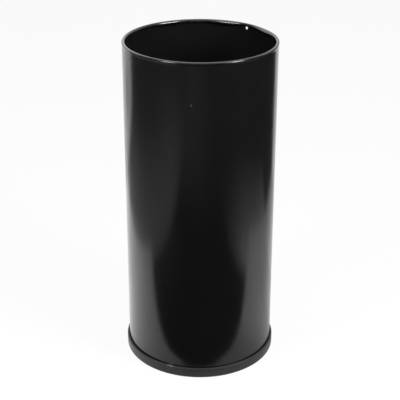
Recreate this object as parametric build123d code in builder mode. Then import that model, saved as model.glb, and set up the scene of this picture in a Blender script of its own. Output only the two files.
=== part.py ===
from build123d import *
from math import acos, cos, degrees, radians, sin, tan
import os

# Umbrella stand, in millimetres. Z is up from the floor and -Y is the front.
# A sheet steel tube with a curled rim is closed by a pressed bottom and stands in a
# moulded ring. A loose tray on the bottom takes the water.

# Tube
tube_diameter = 226.0  # outside of the sheet
overall_height = 500.0  # floor to the top of the rim
sheet_thickness = 0.6  # tube and bottom are cut from the same sheet

# Curled rim
curl_diameter = 4.4  # outside of the rolled bead
curl_proud = 0.6  # bead past the outside of the tube
curl_root_radius = 5.0  # hollow below the bead, where the sheet turns outwards
curl_end_gap = 1.0  # rolled edge to the inside of the tube

# Upright seam
seam_angle = 51.4  # degrees from +X towards +Y
lap_width = 8.0  # overlap of the two sheet edges
lap_end_gap = 1.5  # lap to the bottom below it and to the relief hole above it
relief_diameter = 4.2  # hole that frees the seam for curling
relief_drop = 1.0  # underside of the bead to the edge of the hole
slit_width = 0.8  # open joint in the inner half of the bead

# Pressed bottom
flange_height = 10.0  # turned-down edge, from its foot to the flat of the bottom
flange_bend_radius = 2.5  # outside of the bend
weld_clearance = 0.15  # flange to the inside of the tube
plateau_diameter = 168.0  # raised middle
plateau_rise = 3.0
plateau_slope_run = 5.0
plateau_bend_radius = 2.0

# Foot ring
ring_height = 15.5
ring_wall = 3.0  # outer wall, in sight below the tube
ring_joint = 0.5  # open joint between the tube and the outer wall
ring_joint_depth = 4.0  # lip to the top of the grip ribs in the joint
ring_web = 3.0  # under the sheet edges
ring_inner_wall = 2.0  # inside of the flange
ring_clearance = 0.3  # inner wall to the flange
ring_lip_round = 1.0  # outer edge of the lip
ring_joint_round = 0.3  # inner edge of the lip
ring_foot_round = 1.5
rib_count = 24
rib_width = 1.6
rib_clearance = 0.15  # grip rib to the tube

# Drip tray
tray_clearance = 3.4  # tray to the inside of the bead, so that it lifts out
tray_height = 28.0
tray_thickness = 1.6
tray_draft = 4.0  # degrees that the side leans out
tray_corner_radius = 6.0
tray_lip_width = 3.6  # side to the turned-down edge
tray_lip_drop = 4.5
tray_rib_count = 8
tray_rib_height = 3.0
tray_rib_width = 2.4
tray_rib_start = 18.0  # from the middle of the tray
tray_rib_margin = 12.0  # outer end of a rib to the corner of the floor

# Tube and curl: where the wall, the hollow and the bead meet
tube_radius = tube_diameter / 2
tube_inner_radius = tube_radius - sheet_thickness
curl_radius = curl_diameter / 2
curl_centre_radius = tube_radius + curl_proud - curl_radius
curl_centre_height = overall_height - curl_radius
root_reach = tube_radius + curl_root_radius - curl_centre_radius
root_angle = degrees(acos(root_reach / (curl_root_radius + curl_radius)))
wall_top = curl_centre_height - root_reach * tan(radians(root_angle))
curl_end_reach = tube_inner_radius - curl_end_gap - curl_centre_radius
curl_turn = 360 + root_angle - degrees(acos(curl_end_reach / curl_radius))

# Bottom: it stands on the ring's web beside the tube
flange_radius = tube_inner_radius - weld_clearance
bottom_height = ring_web + flange_height
plateau_radius = plateau_diameter / 2
plateau_height = bottom_height + plateau_rise

# Seam
lap_foot = bottom_height + lap_end_gap
relief_height = overall_height - curl_diameter - relief_drop - relief_diameter / 2
lap_top = relief_height - relief_diameter / 2 - lap_end_gap
seam_plane = Plane(
    origin=(0, 0, 0),
    x_dir=(-sin(radians(seam_angle)), cos(radians(seam_angle)), 0),
    z_dir=(cos(radians(seam_angle)), sin(radians(seam_angle)), 0),
)

# Foot ring: a channel round the sheet edges
ring_lip_radius = tube_radius + ring_joint
ring_radius = ring_lip_radius + ring_wall
channel_radius = flange_radius - sheet_thickness - ring_clearance
ring_inner_radius = channel_radius - ring_inner_wall
ring_inner_top = bottom_height - flange_bend_radius - ring_clearance
rib_radius = tube_radius + rib_clearance

# Tray: it stands on the plateau and passes the bead
tray_radius = curl_centre_radius - curl_radius - tray_clearance
tray_edge_radius = tray_radius - tray_thickness
tray_side_top_radius = tray_edge_radius - tray_lip_width
tray_lip_underside = plateau_height + tray_height - tray_thickness
tray_side_lean = (tray_height - tray_thickness) * tan(radians(tray_draft))
tray_floor_radius = tray_side_top_radius - tray_side_lean
tray_floor_top = plateau_height + tray_thickness
tray_rib_end = tray_floor_radius - tray_corner_radius - tray_rib_margin

with BuildPart() as body_shell:
    # The sheet's outer face, from its foot up the wall and round the bead
    with BuildSketch(Plane.XZ):
        with BuildLine():
            wall = Line((tube_radius, ring_web), (tube_radius, wall_top))
            root = JernArc(wall @ 1, wall % 1, curl_root_radius, -root_angle)
            JernArc(root @ 1, root % 1, curl_radius, curl_turn)
            offset(amount=sheet_thickness, side=Side.LEFT)
        make_face()
    revolve(axis=Axis.Z)
    # The lap lies inside the wall
    with BuildSketch(Plane.XY.offset(lap_foot)):
        Circle(tube_inner_radius + sheet_thickness / 2)
        Circle(tube_inner_radius - sheet_thickness, mode=Mode.SUBTRACT)
        with PolarLocations(tube_inner_radius, 1, start_angle=seam_angle):
            Rectangle(lap_width, lap_width, mode=Mode.INTERSECT)
    extrude(amount=lap_top - lap_foot)
    # Relief hole through the wall
    with BuildSketch(seam_plane):
        with Locations((0, relief_height)):
            Circle(relief_diameter / 2)
    extrude(amount=tube_diameter, mode=Mode.SUBTRACT)
    # Slit through the inner half of the bead
    with BuildSketch(seam_plane):
        with Locations((0, curl_centre_height)):
            Rectangle(slit_width, curl_diameter + relief_drop)
    extrude(amount=curl_centre_radius, mode=Mode.SUBTRACT)

with BuildPart() as bottom_pan:
    with BuildSketch(Plane.XZ):
        with BuildLine():
            FilletPolyline(
                (0, plateau_height),
                (plateau_radius, plateau_height),
                (plateau_radius + plateau_slope_run, bottom_height),
                (flange_radius, bottom_height),
                (flange_radius, ring_web),
                radius=(plateau_bend_radius, plateau_bend_radius, flange_bend_radius),
            )
            offset(amount=sheet_thickness, side=Side.RIGHT)
        make_face()
    revolve(axis=Axis.Z)

with BuildPart() as base_ring:
    with BuildSketch(Plane.XZ):
        with BuildLine():
            FilletPolyline(
                (ring_inner_radius, 0),
                (ring_radius, 0),
                (ring_radius, ring_height),
                (ring_lip_radius, ring_height),
                (ring_lip_radius, ring_web),
                (channel_radius, ring_web),
                (channel_radius, ring_inner_top),
                (ring_inner_radius, ring_inner_top),
                radius=(0, ring_foot_round, ring_lip_round, ring_joint_round, 0, 0, 0, 0),
                close=True,
            )
        make_face()
    revolve(axis=Axis.Z)
    # Grip ribs that hold the tube in the middle of the channel
    with BuildSketch(Plane.XY.offset(ring_web)):
        with PolarLocations(rib_radius, rib_count):
            Rectangle(
                ring_lip_radius + ring_wall / 2 - rib_radius,
                rib_width,
                align=(Align.MIN, Align.CENTER),
            )
    extrude(amount=ring_height - ring_joint_depth - ring_web)

with BuildPart() as drip_tray:
    with BuildSketch(Plane.XZ):
        with BuildLine():
            FilletPolyline(
                (0, plateau_height),
                (tray_floor_radius, plateau_height),
                (tray_side_top_radius, tray_lip_underside),
                (tray_edge_radius, tray_lip_underside),
                (tray_edge_radius, tray_lip_underside - tray_lip_drop),
                radius=(tray_corner_radius, 0, 0),
            )
            offset(amount=tray_thickness, side=Side.LEFT)
        make_face()
    revolve(axis=Axis.Z)
    # Ribs that keep the tips of the umbrellas out of the water
    with BuildSketch(Plane.XY.offset(tray_floor_top)):
        with PolarLocations(tray_rib_start, tray_rib_count):
            Rectangle(
                tray_rib_end - tray_rib_start,
                tray_rib_width,
                align=(Align.MIN, Align.CENTER),
            )
    extrude(amount=tray_rib_height)

os.makedirs("parts", exist_ok=True)
body_shell.part.label = "body_shell"
export_step(body_shell.part, "parts/body_shell.step")
bottom_pan.part.label = "bottom_pan"
export_step(bottom_pan.part, "parts/bottom_pan.step")
base_ring.part.label = "base_ring"
export_step(base_ring.part, "parts/base_ring.step")
drip_tray.part.label = "drip_tray"
export_step(drip_tray.part, "parts/drip_tray.step")
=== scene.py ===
"""Looks of an umbrella stand: a black enamelled steel tube, its foot ring, its bottom and its drip tray."""

import logging
import math
from dataclasses import dataclass
from enum import Enum
from functools import cached_property

import bmesh
import bpy
from bpy.types import ID, Material, Mesh, Node, NodeSocket, NodeTree, Object
from mathutils import Matrix, Vector


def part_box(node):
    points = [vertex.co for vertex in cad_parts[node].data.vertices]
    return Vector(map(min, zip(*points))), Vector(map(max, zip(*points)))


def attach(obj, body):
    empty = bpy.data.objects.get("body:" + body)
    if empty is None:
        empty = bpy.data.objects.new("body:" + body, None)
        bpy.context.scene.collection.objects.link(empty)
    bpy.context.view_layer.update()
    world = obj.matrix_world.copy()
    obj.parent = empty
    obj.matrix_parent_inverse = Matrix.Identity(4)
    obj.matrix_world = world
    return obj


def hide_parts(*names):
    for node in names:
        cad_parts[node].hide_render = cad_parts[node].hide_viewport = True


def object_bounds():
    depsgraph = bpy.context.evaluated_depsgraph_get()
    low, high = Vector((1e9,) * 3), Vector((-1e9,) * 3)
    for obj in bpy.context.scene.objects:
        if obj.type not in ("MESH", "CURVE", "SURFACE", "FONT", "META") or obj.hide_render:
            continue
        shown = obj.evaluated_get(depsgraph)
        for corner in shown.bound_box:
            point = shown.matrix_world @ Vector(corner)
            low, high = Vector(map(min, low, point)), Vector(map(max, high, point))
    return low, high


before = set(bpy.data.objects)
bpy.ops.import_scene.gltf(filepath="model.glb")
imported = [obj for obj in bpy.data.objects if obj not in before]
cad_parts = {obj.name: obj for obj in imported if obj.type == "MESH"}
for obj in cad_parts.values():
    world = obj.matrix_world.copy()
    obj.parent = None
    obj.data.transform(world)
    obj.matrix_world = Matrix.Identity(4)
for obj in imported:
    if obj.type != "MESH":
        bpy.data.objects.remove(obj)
CAD_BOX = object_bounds()
MM = 0.001
WELD_DISTANCE = 0.01 * MM
QUARTER_TURN = math.pi / 2
FULL_TURN = 2 * math.pi
SHEET_CREASE = 40.0
MOULDED_CREASE = 35.0
RIB_EDGE_STEPS = 3

Span = tuple[float, float]
Point = tuple[float, float, float]
Corner = tuple[float, float, float]

log = logging.getLogger("umbrella_stand")


class Body(Enum):
    """The two bodies that come apart."""

    STAND = "stand"
    TRAY = "tray"


class Slot(Enum):
    """The names of the three finishes."""

    ENAMEL = "black_enamel"
    RING_PLASTIC = "ring_plastic"
    TRAY_PLASTIC = "tray_plastic"


class Field:
    """A number in a node tree, which plain arithmetic extends with Math nodes."""

    def __init__(self, graph: "Graph", socket: NodeSocket) -> None:
        """Keeps the tree and the socket that gives the number."""
        self.graph = graph
        self.socket = socket

    def __add__(self, other: "Number") -> "Field":
        """Returns the sum."""
        return self.graph.math("ADD", self, other)

    def __sub__(self, other: "Number") -> "Field":
        """Returns the difference."""
        return self.graph.math("SUBTRACT", self, other)

    def __mul__(self, other: "Number") -> "Field":
        """Returns the product."""
        return self.graph.math("MULTIPLY", self, other)

    def __truediv__(self, other: "Number") -> "Field":
        """Returns the quotient."""
        return self.graph.math("DIVIDE", self, other)


Number = float | Field


class Graph:
    """A node tree in the making, with short calls to add and join its nodes."""

    def __init__(self, tree: NodeTree) -> None:
        """Keeps the tree that the calls extend."""
        self.tree = tree

    def add(self, kind: str, inputs: dict | None = None, **settings: object) -> Node:
        """Adds one node.

        Args:
            kind: Blender's name for the type of node.
            inputs: what each input gets, by name or number: a field, a socket or a plain value.
            settings: the node's own properties.

        Returns:
            The new node.
        """
        node = self.tree.nodes.new(kind)
        for name, value in settings.items():
            setattr(node, name, value)
        for key, value in (inputs or {}).items():
            self.feed(node.inputs[key], value)
        return node

    def feed(self, socket: NodeSocket, value: object) -> None:
        """Links a field or a socket to an input, or sets the input to a plain value.

        Args:
            socket: the input.
            value: what it gets.
        """
        if isinstance(value, Field):
            value = value.socket
        if isinstance(value, NodeSocket):
            self.tree.links.new(value, socket)
        else:
            socket.default_value = value

    def math(self, operation: str, *values: Number, clamp: bool = False) -> Field:
        """Adds one Math node.

        Args:
            operation: Blender's name for the operation.
            values: the numbers that it takes.
            clamp: whether the result is kept between 0 and 1.

        Returns:
            The result.
        """
        node = self.add("ShaderNodeMath", dict(enumerate(values)), operation=operation, use_clamp=clamp)
        return Field(self, node.outputs[0])

    def ramp(self, value: Number, low: float, high: float, last: float = 1.0) -> Field:
        """Maps a number smoothly from a span to one that starts at 0.

        Args:
            value: the number.
            low: the number at and before which the result is 0.
            high: the number at and after which the result is last.
            last: the highest result.

        Returns:
            The mapped number.
        """
        node = self.add(
            "ShaderNodeMapRange",
            {"Value": value, "From Min": low, "From Max": high, "To Max": last},
            interpolation_type="SMOOTHSTEP",
        )
        return Field(self, node.outputs["Result"])

    def seen(self) -> Field:
        """Tells what shows in the picture, directly, off gloss or through glass, from what only lights.

        Returns:
            1 for what shows and 0 for light.
        """
        path = self.add("ShaderNodeLightPath").outputs
        shown = Field(self, path["Is Camera Ray"])
        for ray in ("Is Glossy Ray", "Is Transmission Ray"):
            shown = self.math("MAXIMUM", shown, Field(self, path[ray]))
        return shown


class GeometryGraph(Graph):
    """A Geometry Nodes tree with named inputs, which shapes a mesh and is then taken off it."""

    def __init__(self, name: str) -> None:
        """Makes the tree with its mesh input and its output."""
        super().__init__(bpy.data.node_groups.new(name, "GeometryNodeTree"))
        self.tree.is_modifier = True
        self.entry = self.add("NodeGroupInput")
        self.values: dict[str, object] = {}
        self.tree.interface.new_socket("Geometry", in_out="INPUT", socket_type="NodeSocketGeometry")
        self.tree.interface.new_socket("Geometry", in_out="OUTPUT", socket_type="NodeSocketGeometry")

    @property
    def mesh(self) -> NodeSocket:
        """The mesh that the tree starts from."""
        return self.entry.outputs["Geometry"]

    def size(self, name: str, value: float) -> Field:
        """Adds a named input for a number and notes the value that it gets."""
        return Field(self, self.named_input(name, "NodeSocketFloat", value))

    def count(self, name: str, value: int) -> Field:
        """Adds a named input for a whole number and notes the value that it gets."""
        return Field(self, self.named_input(name, "NodeSocketInt", value))

    def named_input(self, name: str, kind: str, value: object) -> NodeSocket:
        """Adds a named input.

        Args:
            name: the input's name.
            kind: Blender's name for the type of socket.
            value: what the modifier gives to it.

        Returns:
            The socket inside the tree.
        """
        socket = self.tree.interface.new_socket(name, in_out="INPUT", socket_type=kind)
        self.values[socket.identifier] = value
        return self.entry.outputs[name]

    def weld(self, shape: NodeSocket) -> NodeSocket:
        """Joins the points that lie together, along a seam or at a pole."""
        distance = self.size("Weld Distance", WELD_DISTANCE)
        return self.add("GeometryNodeMergeByDistance", {"Geometry": shape, "Distance": distance}).outputs[0]

    def close(self, shape: NodeSocket, material: Material) -> None:
        """Ends the tree: instances become a mesh, which takes the material.

        Args:
            shape: the tree's geometry.
            material: the finish.
        """
        real = self.add("GeometryNodeRealizeInstances", {"Geometry": shape})
        slot = self.named_input("Material", "NodeSocketMaterial", material)
        painted = self.add("GeometryNodeSetMaterial", {"Geometry": real.outputs[0], "Material": slot})
        self.add("NodeGroupOutput", {"Geometry": painted.outputs[0]})

    def shape(self, name: str, start: Mesh) -> Mesh:
        """Runs the tree on a mesh.

        Args:
            name: the name of the resulting mesh.
            start: the mesh that the tree takes in.

        Returns:
            A plain mesh.
        """
        piece = new_object(name, start)
        modifier = piece.modifiers.new(self.tree.name, "NODES")
        modifier.node_group = self.tree
        for identifier, value in self.values.items():
            modifier[identifier] = value
        return take_mesh(piece)


def new_object(name: str, data: ID) -> Object:
    """Links a new object into the scene.

    Args:
        name: its name.
        data: its mesh, light or camera.

    Returns:
        The object.
    """
    made = bpy.data.objects.new(name, data)
    bpy.context.scene.collection.objects.link(made)
    return made


def quad(name: str, corners: list[Point], material: Material) -> Object:
    """Makes an object of one four-cornered face.

    Args:
        name: the object's name.
        corners: the corners in order round the face.
        material: what it is made of.

    Returns:
        The object.
    """
    mesh = bpy.data.meshes.new(name)
    mesh.from_pydata(corners, [], [(0, 1, 2, 3)])
    mesh.materials.append(material)
    return new_object(name, mesh)


def take_mesh(piece: Object) -> Mesh:
    """Bakes an object's modifiers into a plain mesh and removes the object.

    Args:
        piece: the object with its modifiers.

    Returns:
        The mesh that they give.
    """
    bpy.context.view_layer.update()
    evaluated = piece.evaluated_get(bpy.context.evaluated_depsgraph_get())
    mesh = bpy.data.meshes.new_from_object(evaluated)
    mesh.name = piece.name
    bpy.data.objects.remove(piece)
    return mesh


def thicken(name: str, sheet: Mesh, thickness: float, backing: Material) -> Mesh:
    """Gives a sheet its thickness behind its face.

    Args:
        name: the name of the resulting mesh.
        sheet: the sheet's outer face.
        thickness: of the sheet, in metres.
        backing: the material of the inner face and the cut edges.

    Returns:
        The closed sheet.
    """
    sheet.materials.append(backing)
    piece = new_object(name, sheet)
    solid = piece.modifiers.new("thickness", "SOLIDIFY")
    solid.thickness = thickness
    solid.offset = -1
    solid.use_even_offset = True
    solid.use_quality_normals = True
    solid.material_offset = 1
    solid.material_offset_rim = 1
    return take_mesh(piece)


def join(name: str, body: Mesh, added: Mesh) -> Mesh:
    """Fuses one closed mesh with another of the same finish.

    Args:
        name: the name of the resulting mesh.
        body: the main mesh.
        added: the mesh that grows out of it.

    Returns:
        One closed mesh, with the main mesh's finish all over.
    """
    finish = body.materials[0]
    piece = new_object(name, body)
    grown = new_object(added.name, added)
    union = piece.modifiers.new("union", "BOOLEAN")
    union.operation = "UNION"
    union.solver = "MANIFOLD"
    union.object = grown
    mesh = take_mesh(piece)
    bpy.data.objects.remove(grown)
    mesh.materials.clear()
    mesh.materials.append(finish)
    mesh.polygons.foreach_set("material_index", [0] * len(mesh.polygons))
    return mesh


def seat(mesh: Mesh, node: str, body: Body, crease: float) -> Object:
    """Puts a finished mesh in the place of its CAD node.

    Args:
        mesh: the finished mesh, in the part's frame.
        node: the CAD node that it stands for.
        body: the body that it moves with.
        crease: the angle in degrees past which an edge stays sharp.

    Returns:
        The piece.
    """
    for polygon in mesh.polygons:
        polygon.use_smooth = True
    mesh.set_sharp_from_angle(angle=math.radians(crease))
    piece = new_object(node + "_look", mesh)
    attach(piece, body.value)
    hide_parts(node)
    return piece


class MaterialGraph(Graph):
    """A material in the making, on the object's own coordinates."""

    def __init__(self, name: str) -> None:
        """Makes an empty material."""
        self.material = bpy.data.materials.new(name)
        self.material.use_nodes = True
        super().__init__(self.material.node_tree)
        self.tree.nodes.clear()

    @cached_property
    def place(self) -> NodeSocket:
        """The place on the object, in metres."""
        return self.add("ShaderNodeTexCoord").outputs["Object"]

    def axis(self, name: str) -> Field:
        """Returns the place along X, Y or Z."""
        return Field(self, self.add("ShaderNodeSeparateXYZ", {"Vector": self.place}).outputs[name])

    def close(self, shader: Node) -> Material:
        """Ends the tree in a shader and returns the material."""
        self.add("ShaderNodeOutputMaterial", {"Surface": shader.outputs[0]})
        return self.material


class ShaderGraph(MaterialGraph):
    """A piece's finish in the making."""

    def __init__(self, name: str) -> None:
        """Makes the material with its surface shader."""
        super().__init__(name)
        self.surface = self.add("ShaderNodeBsdfPrincipled")

    def noise(self, scale: float, detail: float = 2.0, stretch: Point = (1.0, 1.0, 1.0)) -> Field:
        """Adds a noise over the piece.

        Args:
            scale: waves in a metre, roughly.
            detail: finer layers.
            stretch: how much denser the noise is along each axis.

        Returns:
            The noise, from 0 to 1.
        """
        spread = self.add("ShaderNodeMapping", {"Vector": self.place, "Scale": stretch})
        inputs = {"Vector": spread.outputs[0], "Scale": scale, "Detail": detail}
        return Field(self, self.add("ShaderNodeTexNoise", inputs).outputs["Fac"])

    def height(self) -> Field:
        """Returns the height above the floor, in metres."""
        return self.axis("Z")

    def radius(self) -> Field:
        """Measures from the upright axis.

        Returns:
            The distance, in metres.
        """
        level = self.add("ShaderNodeVectorMath", {0: self.place, 1: (1.0, 1.0, 0.0)}, operation="MULTIPLY")
        length = self.add("ShaderNodeVectorMath", {0: level.outputs[0]}, operation="LENGTH")
        return Field(self, length.outputs["Value"])

    def near(self, place: Point, radius: float) -> Field:
        """Returns 1 within half a radius of a place and 0 past the radius."""
        apart = self.add("ShaderNodeVectorMath", {0: self.place, 1: place}, operation="DISTANCE")
        return self.ramp(Field(self, apart.outputs["Value"]), radius, radius / 2)

    def shade(self, dark: float | NodeSocket, light: float, share: Field) -> NodeSocket:
        """Blends two greys.

        Args:
            dark: the grey, or a colour made before, where the share is 0.
            light: the grey where the share is 1.
            share: how far the blend goes.

        Returns:
            The colour.
        """
        start = (dark, dark, dark, 1.0) if isinstance(dark, float) else dark
        end = (light, light, light, 1.0)
        blend = self.add("ShaderNodeMix", {"Factor": share, "A": start, "B": end}, data_type="RGBA")
        return blend.outputs["Result"]

    def relief(self, layers: list[tuple[Field, float]]) -> None:
        """Adds bumps to the surface.

        Args:
            layers: each layer's pattern with its height in metres.
        """
        normal = None
        for pattern, depth in layers:
            bump = self.add("ShaderNodeBump", {"Height": pattern, "Distance": depth, "Strength": 1.0})
            if normal is not None:
                self.feed(bump.inputs["Normal"], normal)
            normal = bump.outputs[0]
        self.feed(self.surface.inputs["Normal"], normal)

    def finish(self, colour: NodeSocket, roughness: Field, ior: float) -> Material:
        """Gives the surface its colour, roughness and refraction.

        Args:
            colour: the colour all over.
            roughness: the roughness all over.
            ior: the index of refraction, one number.

        Returns:
            The material.
        """
        self.feed(self.surface.inputs["Base Color"], colour)
        self.feed(self.surface.inputs["Roughness"], roughness)
        self.feed(self.surface.inputs["IOR"], ior)
        return self.close(self.surface)


@dataclass(frozen=True)
class EnamelFinish:
    """Stove enamel on sheet steel: near black, glossy, with a faint orange peel.

    Scales are in waves to the metre, and a span says which part of a noise shows.
    """

    name: str
    grey: float = 0.0032
    dust_grey: float = 0.012
    dust_share: float = 0.6
    dust_scale: float = 1400.0
    dust_span: Span = (0.60, 0.78)
    roughness: float = 0.16
    roughness_spread: float = 0.05
    haze_scale: float = 16.0
    haze_span: Span = (0.40, 0.75)
    mottle_scale: float = 900.0
    peel_scale: float = 330.0
    peel_depth: float = 5e-6
    wave_scale: float = 9.0
    wave_stretch: Point = (1.0, 1.0, 0.45)
    wave_depth: float = 1.2e-4
    ior: float = 1.6
    rub_height: float = 495.5 * MM
    rub_radius: float = 112.0 * MM
    rub_fade: float = 1.0 * MM
    rub_scale: float = 120.0
    rub_span: Span = (0.2, 0.7)
    # Lighter grey of the rubbed curl: wear, and a painted sheen on the curl's inner side.
    rub_and_sheen_grey: float = 0.02
    rub_polish: float = 0.07
    chip_place: Point = (0.0, 0.0, 0.0)
    chip_radius: float = 1.4 * MM
    chip_grey: float = 0.075

    def material(self) -> Material:
        """Builds the material.

        Returns:
            The enamel, rubbed by umbrellas and lighter there as a painted sheen inside rub_radius from
            rub_height upwards, and chipped at chip_place where a face lies there.
        """
        graph = ShaderGraph(self.name)
        dust = graph.ramp(graph.noise(self.dust_scale, detail=3.0), *self.dust_span)
        haze = graph.ramp(graph.noise(self.haze_scale, detail=4.0), *self.haze_span)
        rub_and_sheen = graph.ramp(graph.height(), self.rub_height, self.rub_height + self.rub_fade)
        rub_and_sheen = rub_and_sheen * graph.ramp(graph.radius(), self.rub_radius, self.rub_radius - self.rub_fade)
        rub_and_sheen = rub_and_sheen * graph.ramp(graph.noise(self.rub_scale, detail=3.0), *self.rub_span)
        colour = graph.shade(self.grey, self.dust_grey, dust * self.dust_share)
        # The rubbed patches are lightened as wear and as a painted sheen.
        colour = graph.shade(colour, self.rub_and_sheen_grey, rub_and_sheen)
        colour = graph.shade(colour, self.chip_grey, graph.near(self.chip_place, self.chip_radius))
        mottle = graph.noise(self.mottle_scale, detail=1.0) * (self.roughness_spread / 2)
        rough = haze * self.roughness_spread + self.roughness + mottle - rub_and_sheen * self.rub_polish
        peel = graph.noise(self.peel_scale, detail=1.0)
        wave = graph.noise(self.wave_scale, detail=1.0, stretch=self.wave_stretch)
        graph.relief([(wave, self.wave_depth), (peel, self.peel_depth)])
        return graph.finish(colour, rough, self.ior)


@dataclass(frozen=True)
class PlasticFinish:
    """Moulded black plastic with a fine grain, scuffed where it is handled or stands, with light
    painted on a top.

    A span of wear and painted light gives the height where it begins, the height where it is full,
    and its share there.
    """

    name: str
    grey: float
    # Lighter grey of scuffs and flow mottle, and of the light painted on a top.
    scuff_and_lit_grey: float
    roughness: float
    worn_and_lit_spans: tuple[tuple[float, float, float], ...]
    worn_even: float = 0.45
    worn_polish: float = 0.08
    dull_span: Span = (0.0, MM)
    dull: float = 0.0
    rubbed_spot: Point = (0.0, 0.0, 0.0)
    rubbed_radius: float = 7.0 * MM
    rubbed_polish: float = 0.0
    scuff_scale: float = 420.0
    scuff_stretch: Point = (1.0, 1.0, 0.3)
    scuff_span: Span = (0.52, 0.68)
    grain_scale: float = 1500.0
    grain_depth: float = 1.2e-5
    flow_scale: float = 38.0
    flow_share: float = 0.25
    flow_roughness: float = 0.12
    ior: float = 1.5

    def material(self) -> Material:
        """Builds the material.

        Returns:
            The plastic, scuffed and lighter with painted light along its spans of wear and light, duller
            from the dull span upwards and shinier round the rubbed spot.
        """
        graph = ShaderGraph(self.name)
        flow = graph.noise(self.flow_scale, detail=3.0)
        scuffs = graph.noise(self.scuff_scale, detail=5.0, stretch=self.scuff_stretch)
        scuffs = graph.ramp(scuffs, *self.scuff_span)
        height = graph.height()
        worn_and_lit: Number = 0.0
        # Each span lightens by wear, and on the ring's lip top by painted light as well.
        for start, end, share in self.worn_and_lit_spans:
            worn_and_lit = graph.math("MAXIMUM", worn_and_lit, graph.ramp(height, start, end, last=share))
        worn_and_lit = worn_and_lit * (scuffs * (1 - self.worn_even) + self.worn_even)
        rubbed = graph.near(self.rubbed_spot, self.rubbed_radius)
        rough = flow * self.flow_roughness + self.roughness - worn_and_lit * self.worn_polish
        rough = rough + graph.ramp(height, *self.dull_span) * self.dull - rubbed * self.rubbed_polish
        mottled_and_lit = graph.math("ADD", worn_and_lit, flow * self.flow_share, clamp=True)
        graph.relief([(graph.noise(self.grain_scale), self.grain_depth)])
        return graph.finish(graph.shade(self.grey, self.scuff_and_lit_grey, mottled_and_lit), rough, self.ior)


def unit(value: float) -> float:
    """Returns a number kept between 0 and 1."""
    return min(1.0, max(0.0, value))


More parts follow.
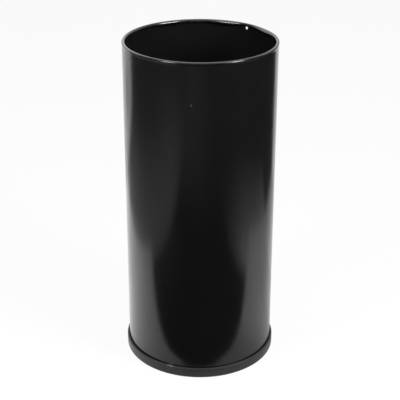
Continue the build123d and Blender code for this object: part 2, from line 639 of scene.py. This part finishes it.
@dataclass
class BodyShell:
    """The tall tube: one sheet, lapped along its seam, rolled round and curled at the top.

    The curl's rolled-in end lies wider by the slack, except close to the seam. It has sprung open
    further and sagged along one loose stretch, and bulges along others, each given by its middle,
    its half length and its spread. Places along the girth are measured from the seam.
    """

    sheet: float = 0.6 * MM
    bead_radius: float = 2.2 * MM
    bead_proud: float = 0.6 * MM
    root_radius: float = 5.0 * MM
    bead_end_gap: float = 1.0 * MM
    seam_degrees: float = 51.4
    lap_width: float = 8.0 * MM
    lap_foot: float = 14.5 * MM
    lap_end_gap: float = 1.5 * MM
    lap_fit: float = 0.05 * MM
    joggle_run: float = 6.0 * MM
    relief_radius: float = 2.1 * MM
    relief_drop: float = 1.0 * MM
    slit: float = 0.8 * MM
    underside: float = 1.3
    slack: float = 0.3
    slack_start: float = 4.0 * MM
    slack_run: float = 20.0 * MM
    loose_middle: float = 44.0 * MM
    loose_half: float = 38.0 * MM
    loose_spread: float = 1.1
    loose_sag: float = 0.6 * MM
    spread_lean: Span = (QUARTER_TURN, 1.2 * math.pi)
    bulges: tuple[tuple[float, float, float], ...] = (
        (36.0 * MM, 34.0 * MM, 0.9),
        (129.0 * MM, 28.0 * MM, 0.6),
    )
    columns: int = 288
    lap_columns: int = 4
    bead_rows: int = 40
    root_rows: int = 8
    relief_rows: int = 14
    wall_rows: int = 12
    border: float = 7.4 * MM

    def __post_init__(self) -> None:
        """Works out where the wall, the hollow and the bead meet."""
        low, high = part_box("body_shell")
        self.foot = low.z
        self.top = high.z
        self.radius = high.x - self.bead_proud
        bead_centre = high.x - self.bead_radius
        reach = self.radius + self.root_radius - bead_centre
        self.root_turn = math.acos(reach / (self.root_radius + self.bead_radius))
        rise = reach * math.tan(self.root_turn) * self.underside
        self.wall_length = self.top - self.bead_radius - rise - self.foot
        end_reach = self.radius - self.sheet - self.bead_end_gap - bead_centre
        self.bead_turn = FULL_TURN + self.root_turn - math.acos(end_reach / self.bead_radius)
        self.girth = FULL_TURN * self.radius
        self.bead_start = self.wall_length + self.root_radius * self.root_turn
        relief = self.top - 2 * self.bead_radius - self.relief_drop - self.relief_radius
        self.relief_row = relief - self.foot
        self.lap_bottom = self.lap_foot - self.foot
        self.lap_top = self.relief_row - self.relief_radius - self.lap_end_gap

    def rows(self) -> list[float]:
        """Sets out the flat blank's rows, close together where the sheet bends or is cut.

        Returns:
            Their heights along the sheet, from its foot.
        """
        span = self.lap_top - self.lap_bottom
        wall = [self.lap_bottom + span * i / self.wall_rows for i in range(self.wall_rows + 1)]
        turns = [math.pi * i / self.relief_rows for i in range(self.relief_rows + 1)]
        relief = [self.relief_row - self.relief_radius * math.cos(turn) for turn in turns]
        hollow = self.bead_start - self.wall_length
        root = [self.wall_length + hollow * i / self.root_rows for i in range(self.root_rows + 1)]
        step = self.bead_radius * self.bead_turn / self.bead_rows
        bead = [self.bead_start + step * (i + 1) for i in range(self.bead_rows)]
        return sorted([0.0, self.lap_bottom / 2] + wall + relief + root + bead)

    def across(self) -> list[float]:
        """Sets out the flat blank's columns, closer at the joggle and the lap.

        Returns:
            Their places along the girth, from the seam.
        """
        even = [self.girth * i / self.columns for i in range(self.columns)]
        steps = [i / self.lap_columns for i in range(self.lap_columns + 1)]
        joggle = [self.girth - self.joggle_run * (1 - step) for step in steps]
        lap = [self.girth + self.lap_width * step for step in steps[1:]]
        return [x for x in even if x < joggle[0] - MM] + joggle + lap

    def notch(self, row: float) -> float:
        """Works out the cut in the sheet's upright edges, for the relief hole and the slit.

        Args:
            row: the place along the sheet from its foot.

        Returns:
            How far each edge is cut back there, in metres.
        """
        if row > self.bead_start + self.bead_radius * (self.root_turn + QUARTER_TURN):
            return self.slit / 2
        return math.sqrt(max(0.0, self.relief_radius**2 - (row - self.relief_row) ** 2))

    def depth(self, x: float, row: float) -> float:
        """Returns how far the lapped edge is pressed behind the other edge.

        Args:
            x: the place along the girth.
            row: the place along the sheet from its foot.

        Returns:
            The depth, in metres.
        """
        into = unit((x - self.girth + self.joggle_run) / self.joggle_run)
        fade_top = self.relief_row + self.relief_radius
        above = unit((fade_top - row) / (fade_top - self.lap_top))
        below = unit(2 * row / self.lap_bottom - 1)
        eased = into * into * (3 - 2 * into)
        return (self.sheet + self.lap_fit) * eased * min(above, below)

    def blank(self) -> Mesh:
        """Cuts the flat sheet: girth along X, height along Y, pressed depth along Z.

        Returns:
            The flat mesh, with half of the relief hole in each upright edge.
        """
        mesh = bmesh.new()
        rows, across = self.rows(), self.across()
        grid: list[list[bmesh.types.BMVert]] = []
        for row in rows:
            line = []
            for x in across:
                near = max(0.0, 1 - x / self.border)
                far = max(0.0, 1 - abs(self.girth - x) / self.border)
                shifted = x + self.notch(row) * (near - far)
                line.append(mesh.verts.new((shifted, row, self.depth(x, row))))
            grid.append(line)
        for i in range(len(rows) - 1):
            past_foot = rows[i] > self.lap_bottom - WELD_DISTANCE
            lapped = past_foot and rows[i + 1] < self.lap_top + WELD_DISTANCE
            for j in range(len(across) - 1):
                if across[j] < self.girth - WELD_DISTANCE or lapped:
                    mesh.faces.new((grid[i][j], grid[i][j + 1], grid[i + 1][j + 1], grid[i + 1][j]))
        bmesh.ops.delete(mesh, geom=[v for v in mesh.verts if not v.link_faces], context="VERTS")
        flat = bpy.data.meshes.new("blank")
        mesh.to_mesh(flat)
        mesh.free()
        return flat

    def roll(self, outside: Material) -> GeometryGraph:
        """Builds the tree that rolls a flat blank round and curls its upper edge.

        Args:
            outside: the material of the sheet's face.

        Returns:
            The tree.
        """
        graph = GeometryGraph("roll_sheet")
        radius = graph.size("Tube Radius", self.radius)
        foot = graph.size("Foot Height", self.foot)
        seam = graph.size("Seam Angle", math.radians(self.seam_degrees))
        wall = graph.size("Wall Length", self.wall_length)
        root = graph.size("Root Radius", self.root_radius)
        root_turn = graph.size("Root Turn", self.root_turn)
        bead = graph.size("Bead Radius", self.bead_radius)
        underside = graph.size("Underside Stretch", self.underside)
        girth = graph.size("Girth", self.girth)
        slack = graph.size("Slack", self.slack)
        loose_middle = graph.size("Loose Middle", self.girth - self.loose_middle)
        loose_spread = graph.size("Loose Spread", self.loose_spread)
        loose_sag = graph.size("Loose Sag", self.loose_sag)
        flat = graph.add("ShaderNodeSeparateXYZ", {0: graph.add("GeometryNodeInputPosition").outputs[0]})
        x, row, depth = (Field(graph, socket) for socket in flat.outputs)
        past_wall = graph.math("MAXIMUM", row - wall, 0.0)
        turn = graph.math("MINIMUM", past_wall / root, root_turn)
        curl = graph.math("MAXIMUM", past_wall - root * root_turn, 0.0) / bead
        lean = curl - root_turn
        loose = graph.ramp(graph.math("ABSOLUTE", x - loose_middle), self.loose_half, 0.0)
        from_seam = graph.math("MINIMUM", x, graph.math("ABSOLUTE", girth - x))
        spread = slack * graph.ramp(from_seam, self.slack_start, self.slack_start + self.slack_run)
        spread = spread + loose * loose_spread
        for number, (middle, half, extra) in enumerate(self.bulges, 1):
            place = graph.size(f"Bulge {number} Middle", middle)
            bulge = graph.ramp(graph.math("ABSOLUTE", x - place), half, 0.0)
            spread = spread + bulge * graph.size(f"Bulge {number} Spread", extra)
        open_bead = bead * (spread * graph.ramp(lean, *self.spread_lean) + 1.0)
        out = root - root * graph.math("COSINE", turn)
        out = out + open_bead * graph.math("COSINE", lean) - bead * graph.math("COSINE", root_turn)
        swing = graph.math("SINE", lean)
        swing = graph.math("MAXIMUM", swing, 0.0) + underside * graph.math("MINIMUM", swing, 0.0)
        rise = underside * (root * graph.math("SINE", turn) + bead * graph.math("SINE", root_turn))
        rise = rise + open_bead * swing
        rise = rise - loose * loose_sag * graph.ramp(lean, 0.0, QUARTER_TURN)
        reach = radius + out - depth
        angle = seam + x / radius
        round_place = graph.add(
            "ShaderNodeCombineXYZ",
            {
                "X": reach * graph.math("COSINE", angle),
                "Y": reach * graph.math("SINE", angle),
                "Z": foot + graph.math("MINIMUM", row, wall) + rise,
            },
        )
        rolled = graph.add(
            "GeometryNodeSetPosition", {"Geometry": graph.mesh, "Position": round_place.outputs[0]}
        )
        graph.close(graph.weld(rolled.outputs[0]), outside)
        return graph

    def build(self, outside: Material, inside: Material) -> Object:
        """Makes the tube.

        Args:
            outside: the enamel of the outer face.
            inside: the enamel of the inner face.

        Returns:
            The piece.
        """
        face = self.roll(outside).shape("body_shell_face", self.blank())
        mesh = thicken("body_shell", face, self.sheet, inside)
        return seat(mesh, "body_shell", Body.STAND, SHEET_CREASE)


@dataclass
class TurnedPiece:
    """What the pressed bottom, the foot ring and the tray share: a profile turned round the axis."""

    segments: int = 288
    round_steps: int = 6

    def turn(self, name: str, profile: list[Corner], ring: bool, material: Material) -> Mesh:
        """Turns a profile round the axis.

        Args:
            name: the name of the resulting mesh.
            profile: the radius, height and corner radius at each corner.
            ring: whether the profile's last corner joins its first.
            material: the finish.

        Returns:
            The turned mesh.
        """
        line = bpy.data.meshes.new(name + "_profile")
        edges = [(i, i + 1) for i in range(len(profile) - 1)]
        if ring:
            edges.append((len(profile) - 1, 0))
        line.from_pydata([(radius, -height, 0.0) for radius, height, _ in profile], edges, [])
        corners = line.attributes.new("corner", "FLOAT", "POINT")
        corners.data.foreach_set("value", [corner for _, _, corner in profile])
        graph = GeometryGraph("turn_profile")
        segments = graph.count("Segments", self.segments)
        steps = graph.count("Corner Steps", self.round_steps)
        rail_radius = graph.size("Rail Radius", max(radius for radius, _, _ in profile))
        corner = graph.add("GeometryNodeInputNamedAttribute", {"Name": "corner"}, data_type="FLOAT")
        sharp = graph.add("GeometryNodeMeshToCurve", {"Mesh": graph.mesh})
        rounded = graph.add(
            "GeometryNodeFilletCurve",
            {"Curve": sharp.outputs[0], "Count": steps, "Radius": corner.outputs["Attribute"]},
            mode="POLY",
        )
        offset = graph.add("ShaderNodeCombineXYZ", {"X": rail_radius * -1.0})
        moved = graph.add(
            "GeometryNodeSetPosition", {"Geometry": rounded.outputs[0], "Offset": offset.outputs[0]}
        )
        circle = graph.add(
            "GeometryNodeCurvePrimitiveCircle", {"Resolution": segments, "Radius": rail_radius}
        )
        upright = graph.add("GeometryNodeSetCurveNormal", {"Curve": circle.outputs[0]}, mode="Z_UP")
        swept = graph.add(
            "GeometryNodeCurveToMesh", {"Curve": upright.outputs[0], "Profile Curve": moved.outputs[0]}
        )
        graph.close(graph.weld(swept.outputs[0]), material)
        return graph.shape(name, line)

    def repeat_round(self, name: str, rib: Mesh, count: int, material: Material) -> Mesh:
        """Repeats a rib round the axis.

        Args:
            name: the name of the resulting mesh.
            rib: the rib on the X axis.
            count: how many ribs there are.
            material: the finish.

        Returns:
            All the ribs.
        """
        graph = GeometryGraph("ribs_round_axis")
        ribs = graph.count("Ribs", count)
        centres = graph.add("GeometryNodePoints", {"Count": ribs})
        number = Field(graph, graph.add("GeometryNodeInputIndex").outputs[0])
        turned = graph.add("ShaderNodeCombineXYZ", {"Z": number * FULL_TURN / ribs})
        copies = graph.add(
            "GeometryNodeInstanceOnPoints",
            {"Points": centres.outputs[0], "Instance": graph.mesh, "Rotation": turned.outputs[0]},
        )
        graph.close(copies.outputs[0], material)
        return graph.shape(name, rib)


def rib_mesh(start: float, end: float, low: float, high: float, width: float, edge: float) -> Mesh:
    """Makes one upright rib along the X axis with rounded upper edges.

    Args:
        start: its end near the axis.
        end: its end away from the axis.
        low: its underside.
        high: its top.
        width: its thickness.
        edge: the radius of its upper edges.

    Returns:
        The rib.
    """
    shape = bmesh.new()
    bmesh.ops.create_cube(shape, size=1.0)
    scale = Matrix.Diagonal((end - start, width, high - low, 1.0))
    place = Matrix.Translation(((start + end) / 2, 0.0, (low + high) / 2))
    bmesh.ops.transform(shape, matrix=place @ scale, verts=shape.verts)
    upper = [e for e in shape.edges if all(v.co.z > (low + high) / 2 for v in e.verts)]
    bmesh.ops.bevel(shape, geom=upper, offset=edge, segments=RIB_EDGE_STEPS, profile=0.5, affect="EDGES")
    rib = bpy.data.meshes.new("rib")
    shape.to_mesh(rib)
    shape.free()
    return rib


@dataclass
class BottomPan(TurnedPiece):
    """The pressed bottom: a raised middle for the tray and a turned-down flange at the wall."""

    sheet: float = 0.6 * MM
    plateau_radius: float = 84.0 * MM
    plateau_rise: float = 3.0 * MM
    plateau_run: float = 5.0 * MM
    plateau_bend: float = 2.0 * MM
    flange_bend: float = 2.5 * MM

    def build(self, enamel: Material) -> Object:
        """Makes the bottom.

        Args:
            enamel: the finish of both faces.

        Returns:
            The piece.
        """
        low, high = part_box("bottom_pan")
        flat = high.z - self.plateau_rise
        profile = [
            (0.0, high.z, 0.0),
            (self.plateau_radius, high.z, self.plateau_bend),
            (self.plateau_radius + self.plateau_run, flat, self.plateau_bend),
            (high.x, flat, self.flange_bend),
            (high.x, low.z, 0.0),
        ]
        face = self.turn("bottom_pan_face", profile, False, enamel)
        mesh = thicken("bottom_pan", face, self.sheet, enamel)
        return seat(mesh, "bottom_pan", Body.STAND, SHEET_CREASE)


@dataclass
class BaseRing(TurnedPiece):
    """The moulded foot ring: a channel round the sheet's lower edge, with grip ribs in it."""

    wall: float = 3.0 * MM
    web: float = 3.0 * MM
    channel_radius: float = 111.35 * MM
    inner_wall: float = 2.0 * MM
    inner_top: float = 10.2 * MM
    lip_round: float = 1.0 * MM
    joint_round: float = 0.3 * MM
    foot_round: float = 1.5 * MM
    edge_round: float = 0.4 * MM
    ribs: int = 24
    rib_width: float = 1.6 * MM
    rib_reach: float = 0.35 * MM
    rib_drop: float = 4.0 * MM
    knock_degrees: float = -23.2
    knock_lean: float = 39.0
    knock_depth: float = 0.1 * MM

    def knock_place(self) -> Vector:
        """Finds the place on the lip's outer edge where it has been knocked.

        Returns:
            The middle of the flat, before it is pressed in.
        """
        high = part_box("base_ring")[1]
        middle = Vector((0.0, self.lip_round - high.x, high.z - self.lip_round))
        edge = middle + self.lip_round * self.knock_way()
        return Matrix.Rotation(math.radians(self.knock_degrees), 3, "Z") @ edge

    def knock_way(self) -> Vector:
        """Returns the way that the knocked flat faces, as if it were straight in front."""
        lean = math.radians(self.knock_lean)
        return Vector((0.0, -math.cos(lean), math.sin(lean)))

    def knock_lip(self, ring: Mesh, plastic: Material) -> Mesh:
        """Presses a small flat into the lip's outer edge, where it has been knocked.

        Args:
            ring: the turned ring.
            plastic: the finish.

        Returns:
            The ring with its flat.
        """
        away = Matrix.Rotation(math.radians(self.knock_degrees), 3, "Z") @ self.knock_way()
        graph = GeometryGraph("knock_lip")
        place = graph.add("GeometryNodeInputPosition").outputs[0]
        reach = graph.add("ShaderNodeVectorMath", {0: place, 1: away}, operation="DOT_PRODUCT")
        limit = graph.size("Flat Reach", away.dot(self.knock_place()) - self.knock_depth)
        past = graph.math("MAXIMUM", Field(graph, reach.outputs["Value"]) - limit, 0.0)
        push = graph.add("ShaderNodeVectorMath", {0: away, "Scale": past * -1.0}, operation="SCALE")
        flat = graph.add("GeometryNodeSetPosition", {"Geometry": graph.mesh, "Offset": push.outputs[0]})
        graph.close(flat.outputs[0], plastic)
        return graph.shape("base_ring_knocked", ring)

    def build(self, plastic: Material) -> Object:
        """Makes the ring.

        Args:
            plastic: the finish.

        Returns:
            The piece.
        """
        low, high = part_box("base_ring")
        lip = high.x - self.wall
        inner = self.channel_radius - self.inner_wall
        profile = [
            (inner, self.inner_top, self.edge_round),
            (self.channel_radius, self.inner_top, self.edge_round),
            (self.channel_radius, self.web, 0.0),
            (lip, self.web, 0.0),
            (lip, high.z, self.joint_round),
            (high.x, high.z, self.lip_round),
            (high.x, low.z, self.foot_round),
            (inner, low.z, self.edge_round),
        ]
        ring = self.knock_lip(self.turn("base_ring_turned", profile, True, plastic), plastic)
        rib = rib_mesh(
            lip - self.rib_reach,
            lip + self.wall / 2,
            self.web / 2,
            high.z - self.rib_drop,
            self.rib_width,
            self.edge_round,
        )
        ribs = self.repeat_round("base_ring_ribs", rib, self.ribs, plastic)
        mesh = join("base_ring", ring, ribs)
        return seat(mesh, "base_ring", Body.STAND, MOULDED_CREASE)


@dataclass
class DripTray(TurnedPiece):
    """The loose moulded tray, with ribs that keep the tips out of the water."""

    wall: float = 1.6 * MM
    draft_degrees: float = 4.0
    corner_radius: float = 6.0 * MM
    lip_width: float = 3.6 * MM
    lip_drop: float = 4.5 * MM
    lip_bend: float = 0.4 * MM
    ribs: int = 8
    rib_width: float = 2.4 * MM
    rib_height: float = 3.0 * MM
    rib_start: float = 18.0 * MM
    rib_margin: float = 12.0 * MM
    rib_round: float = 0.7 * MM

    def build(self, plastic: Material) -> Object:
        """Makes the tray.

        Args:
            plastic: the finish.

        Returns:
            The piece.
        """
        low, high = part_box("drip_tray")
        edge = high.x - self.wall
        underside = high.z - self.wall
        side_top = edge - self.lip_width
        floor = side_top - (underside - low.z) * math.tan(math.radians(self.draft_degrees))
        profile = [
            (edge, underside - self.lip_drop, 0.0),
            (edge, underside, self.lip_bend),
            (side_top, underside, self.lip_bend),
            (floor, low.z, self.corner_radius),
            (0.0, low.z, 0.0),
        ]
        face = self.turn("drip_tray_face", profile, False, plastic)
        dish = thicken("drip_tray_dish", face, self.wall, plastic)
        rib = rib_mesh(
            self.rib_start,
            floor - self.corner_radius - self.rib_margin,
            low.z + self.wall / 2,
            low.z + self.wall + self.rib_height,
            self.rib_width,
            self.rib_round,
        )
        ribs = self.repeat_round("drip_tray_ribs", rib, self.ribs, plastic)
        mesh = join("drip_tray", dish, ribs)
        return seat(mesh, "drip_tray", Body.TRAY, MOULDED_CREASE)


@dataclass(frozen=True)
class Card:
    """A flat card that only the gloss sees: the table top, the backdrop or a part of the dim room.

    It spans two places along two of the axes and lies at one along the third. Its brightness, where
    1 is white, rises smoothly from dim to bright along X and along Y, each between two places.
    """

    name: str
    x: Span | float
    y: Span | float
    z: Span | float
    dim: float
    bright: float | None = None
    along_x: Span | None = None
    along_y: Span | None = None

    def corners(self) -> list[Point]:
        """Sets out the card.

        Returns:
            Its corners in order round it.
        """
        sides = [side if isinstance(side, tuple) else (side, side) for side in (self.x, self.y, self.z)]
        (x0, x1), (y0, y1), (z0, z1) = sides
        if x0 == x1:
            return [(x0, y0, z0), (x0, y1, z0), (x0, y1, z1), (x0, y0, z1)]
        return [(x0, y0, z0), (x1, y0, z0), (x1, y1, z1), (x0, y1, z1)]

    def build(self) -> None:
        """Makes the card and hides it from all but the gloss."""
        graph = MaterialGraph(self.name)
        share: Number = 0.0 if self.bright is None else self.bright - self.dim
        for axis, span in (("X", self.along_x), ("Y", self.along_y)):
            if span is not None:
                share = graph.ramp(graph.axis(axis), *span) * share
        glow = graph.add("ShaderNodeEmission", {"Strength": share + self.dim})
        card = quad(self.name, self.corners(), graph.close(glow))
        card.visible_camera = False
        card.visible_diffuse = False
        card.visible_transmission = False
        card.visible_shadow = False


@dataclass(frozen=True)
class Lamp:
    """A soft light that faces the middle of the stand.

    Its azimuth is in degrees from the camera's side to the right, its elevation from the horizon up.
    At a brightness of 1 its face is white.
    """

    name: str
    azimuth: float
    elevation: float
    width: float
    height: float
    brightness: float
    distance: float = 1.55

    def build(self) -> None:
        """Hangs the lamp."""
        data = bpy.data.lights.new(self.name, "AREA")
        data.shape = "RECTANGLE"
        data.size = self.width
        data.size_y = self.height
        data.energy = self.brightness * math.pi * self.width * self.height
        lamp = new_object(self.name, data)
        turn = Matrix.Rotation(math.radians(self.azimuth), 4, "Z")
        tilt = Matrix.Rotation(math.radians(90 - self.elevation), 4, "X")
        middle = Matrix.Translation((CAD_BOX[0] + CAD_BOX[1]) / 2)
        lamp.matrix_world = middle @ turn @ tilt @ Matrix.Translation((0.0, 0.0, self.distance))
        lamp.visible_camera = False


@dataclass
class Studio:
    """The pale floor, the soft lights, the cards that the gloss reflects, and the camera."""

    camera_back: float = 1.4887
    camera_height: float = 0.9296
    camera_pitch: float = 24.662
    camera_roll: float = 0.14
    lens: float = 96.02
    sensor: float = 36.0
    floor_half: float = 9.0
    floor_grey: float = 0.95
    shadow_share: float = 0.08
    sky_fill: float = 0.3
    # Levels just under the stand's foot, so that one card lies on another
    floor_level: float = -1.0 * MM
    room_level: float = -0.6 * MM
    edge_level: float = -0.4 * MM
    table_level: float = -0.2 * MM
    shade_level: float = -0.1 * MM
    # Table top, backdrop and room, from the stand's axis and its foot
    table_left: float = -0.48
    table_right: float = 0.56
    table_front: float = -0.1465
    table_middle: float = 0.2
    foot_shade_half: float = 0.06
    foot_shade_dark: float = 0.028
    foot_shade_back: float = -0.137
    backdrop: float = 0.58
    backdrop_left: float = -1.15
    backdrop_lit: float = 0.5
    backdrop_top: float = 1.5
    dark_left: float = -0.42
    dark_right: float = 0.37
    shade_front: float = 0.2
    room_reach: float = 3.0
    ceiling: float = 2.4

    def floor(self) -> None:
        """Lays the floor, which keeps a part of the object's shadow."""
        half = self.floor_half
        graph = MaterialGraph("pale_floor")
        grey = (self.floor_grey, self.floor_grey, self.floor_grey, 1.0)
        lit = graph.add("ShaderNodeBsdfDiffuse", {"Color": grey})
        white = graph.add("ShaderNodeEmission", {"Strength": 1.0})
        share = graph.seen() * (1 - self.shadow_share)
        blend = graph.add("ShaderNodeMixShader", {0: share, 1: lit.outputs[0], 2: white.outputs[0]})
        corners = [(-half, -half, 0.0), (half, -half, 0.0), (half, half, 0.0), (-half, half, 0.0)]
        floor = quad("floor", corners, graph.close(blend))
        floor.location.z = self.floor_level

    def table_cards(self) -> tuple[Card, ...]:
        """Sets out the white table top, with the stand's shadow painted on it round its foot, and the
        backdrop.

        Returns:
            Their cards.
        """
        left, right, front, back = self.table_left, self.table_right, self.table_front, self.backdrop
        table, shade, middle, lit = self.table_level, self.shade_level, self.table_middle, self.backdrop_lit
        half, dark, foot = self.foot_shade_half, self.foot_shade_dark, self.foot_shade_back
        return (
            # The left and right table cards glow dimmer towards the stand: painted shadow; the foot shade
            # cards paint it darker at the foot.
            Card("table_left", (left, 0.0), (front, back), table,
                 dim=0.4, bright=1.42, along_x=(0.03, -0.2), along_y=(-0.4, 0.1)),
            Card("table_right", (0.0, right), (front, middle), table,
                 dim=0.55, bright=1.0, along_x=(0.09, 0.23), along_y=(0.35, -0.12)),
            Card("table_side", (0.12, 0.36), (0.03, middle), shade,
                 dim=0.74, bright=0.92, along_x=(0.36, 0.2), along_y=(0.02, 0.12)),
            Card("table_back", (0.0, right), (middle, back), table,
                 dim=0.6, bright=1.05, along_x=(0.55, 0.25)),
            Card("foot_shade_left", (-half, 0.0), (front, foot), shade,
                 dim=0.06, bright=0.55, along_x=(-dark, -half)),
            Card("foot_shade_right", (0.0, half), (front, foot), shade,
                 dim=0.06, bright=0.5, along_x=(dark, half)),
            Card("backdrop", (self.backdrop_left, right), back, (table, lit),
                 dim=1.02, bright=1.12, along_x=(0.3, -0.5)),
            # A dimmer strip across the backdrop: painted shade.
            Card("backdrop_fold", (-0.72, -0.59), back - MM, (0.1, 0.2), dim=0.6),
            Card("backdrop_lit", (self.backdrop_left, self.room_reach), back, (lit, self.backdrop_top),
                 dim=1.0, bright=1.7, along_x=(0.3, -0.3)),
        )

    def room_cards(self) -> tuple[Card, ...]:
        """Sets out the dim floor, walls and ceiling of the room round the table.

        Returns:
            Their cards.
        """
        far, room, edge, shade = self.room_reach, self.room_level, self.edge_level, self.shade_front
        left, right, front, back = self.dark_left, self.dark_right, self.table_front, self.backdrop
        tall, low = (room, self.ceiling), (room, self.backdrop_lit)
        return (
            Card("room_left", (-far, left), (-far, back), room,
                 dim=0.1, bright=0.39, along_x=(-1.3, -0.55), along_y=(-1.4, -0.6)),
            Card("room_right", (right, far), (-far, shade), room,
                 dim=0.05, bright=0.46, along_x=(0.95, 0.5), along_y=(-0.65, -0.15)),
            Card("room_shade", (self.table_right, far), (shade, back), room, dim=0.05),
            Card("room_front", (left, right), (-far, front), room,
                 dim=0.012, bright=0.16, along_x=(0.8, -0.4), along_y=(-0.66, -0.98)),
            Card("front_edge", (left, -0.08), (-0.62, front), edge,
                 dim=0.012, bright=0.06, along_x=(-0.1, -0.36), along_y=(-0.62, -0.45)),
            Card("left_corner", (-1.0, self.table_left), (0.38, back), edge,
                 dim=0.19, bright=0.7, along_x=(-0.76, -0.5), along_y=(0.3, 0.46)),
            Card("front_corner", (0.385, 0.51), (-0.31, front), edge,
                 dim=0.38, bright=0.74, along_x=(0.37, 0.42), along_y=(-0.31, -0.23)),
            Card("wall_front", (-far, far), -far, tall, dim=0.35),
            Card("wall_left", (-far, self.backdrop_left), back, low, dim=0.16),
            Card("wall_right", (self.table_right, far), back, low, dim=0.05),
            Card("side_left", -far, (-far, back), tall, dim=0.2),
            Card("side_right", far, (-far, back), tall, dim=0.2),
            Card("ceiling", (-far, far), (-far, back), self.ceiling, dim=0.6),
        )

    def light(self) -> None:
        """Sets the white surroundings and the soft lights."""
        world = bpy.data.worlds.new("white_studio")
        world.use_nodes = True
        graph = Graph(world.node_tree)
        graph.tree.nodes.clear()
        strength = graph.seen() * (1 - self.sky_fill) + self.sky_fill
        sky = graph.add("ShaderNodeBackground", {"Color": (1.0, 1.0, 1.0, 1.0), "Strength": strength})
        graph.add("ShaderNodeOutputWorld", {"Surface": sky.outputs[0]})
        bpy.context.scene.world = world
        for lamp in (
            Lamp("softbox_left", azimuth=-47.0, elevation=30.0, width=0.36, height=0.5, brightness=20.0),
            Lamp("softbox_right", azimuth=53.0, elevation=30.0, width=0.4, height=0.6, brightness=27.0),
            Lamp("softbox_above", azimuth=0.0, elevation=88.0, width=1.2, height=1.2, brightness=1.5),
        ):
            lamp.build()

    def camera(self) -> None:
        """Places the camera where the photograph was taken from."""
        data = bpy.data.cameras.new("camera")
        data.lens = self.lens
        data.sensor_width = self.sensor
        camera = new_object("camera", data)
        place = Matrix.Translation((0.0, -self.camera_back, self.camera_height))
        pitch = Matrix.Rotation(math.radians(90 - self.camera_pitch), 4, "X")
        roll = Matrix.Rotation(math.radians(self.camera_roll), 4, "Z")
        camera.matrix_world = place @ pitch @ roll
        bpy.context.scene.camera = camera

    def build(self) -> None:
        """Sets up the whole studio."""
        self.floor()
        for card in self.table_cards() + self.room_cards():
            card.build()
        self.light()
        self.camera()
        bpy.context.scene.view_settings.view_transform = "Standard"


def main() -> None:
    """Builds the stand and its studio."""
    logging.basicConfig(level=logging.INFO, format="%(name)s: %(message)s")
    ring = BaseRing()
    outside = EnamelFinish("black_enamel_outside", chip_place=(-12.3 * MM, -112.3 * MM, 439.3 * MM))
    inside = EnamelFinish("black_enamel_inside", grey=0.007, roughness=0.17, ior=1.5, peel_depth=9e-6)
    satin = PlasticFinish(
        "ring_plastic_satin",
        grey=0.012,
        scuff_and_lit_grey=0.035,
        roughness=0.3,
        # The lip's flat top span is wear and painted light on the ring's top.
        worn_and_lit_spans=((3.0 * MM, 0.0, 1.0), (15.42 * MM, 15.5 * MM, 0.5)),
        worn_even=0.7,
        dull_span=(14.4 * MM, 14.8 * MM),
        dull=0.2,
        rubbed_spot=tuple(ring.knock_place()),
        rubbed_polish=0.3,
        grain_scale=900.0,
        grain_depth=4e-5,
    )
    grained = PlasticFinish(
        "tray_plastic_grained",
        grey=0.022,
        scuff_and_lit_grey=0.05,
        roughness=0.45,
        worn_and_lit_spans=((41.0 * MM, 44.0 * MM, 1.0),),
    )
    outer, inner = outside.material(), inside.material()
    for piece in (
        BodyShell().build(outer, inner),
        BottomPan().build(inner),
        ring.build(satin.material()),
        DripTray().build(grained.material()),
    ):
        log.info("%s: %d faces", piece.name, len(piece.data.polygons))
    Studio().build()


if __name__ == "__main__":
    main()
